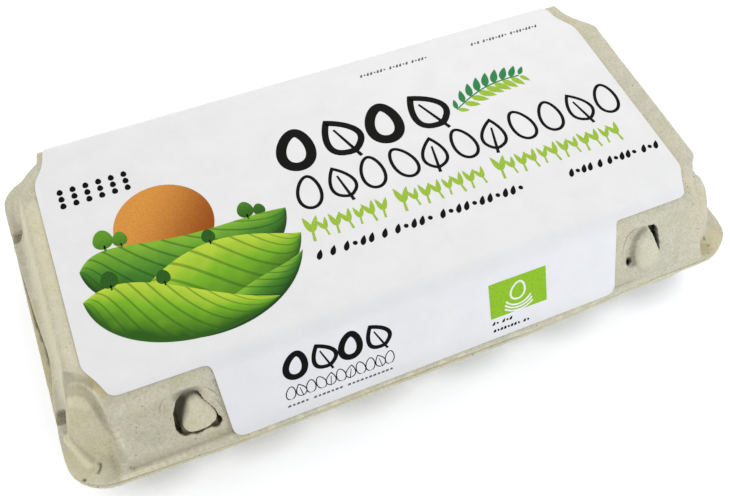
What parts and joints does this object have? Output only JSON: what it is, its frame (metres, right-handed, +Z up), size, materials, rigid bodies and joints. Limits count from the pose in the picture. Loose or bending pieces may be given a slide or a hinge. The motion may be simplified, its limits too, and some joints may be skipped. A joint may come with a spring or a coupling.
{
  "type": "egg carton",
  "caption": "Shut moulded-pulp egg carton, three rows of six cups under a flat clipped-corner lid with two front latches and a wrap-over paper label.",
  "frame": {"origin": "centre of the footprint, on the table under the cup feet", "axes": "+X along the carton's length, +Y towards its hinged back, +Z up; the latches face -Y"},
  "size_m": [0.305, 0.1636, 0.068],
  "materials": {
    "tray_pulp": "rough moulded pulp, beige, a little yellower than the lid",
    "lid_pulp": "rough moulded pulp, pale beige with fibres and specks",
    "label_paper": "smooth white coated paper, printed in black, green and brown"
  },
  "bodies": {
    "root": {"tray": "tray_pulp", "lid": "lid_pulp", "label": "label_paper"}
  },
  "joints": []
}
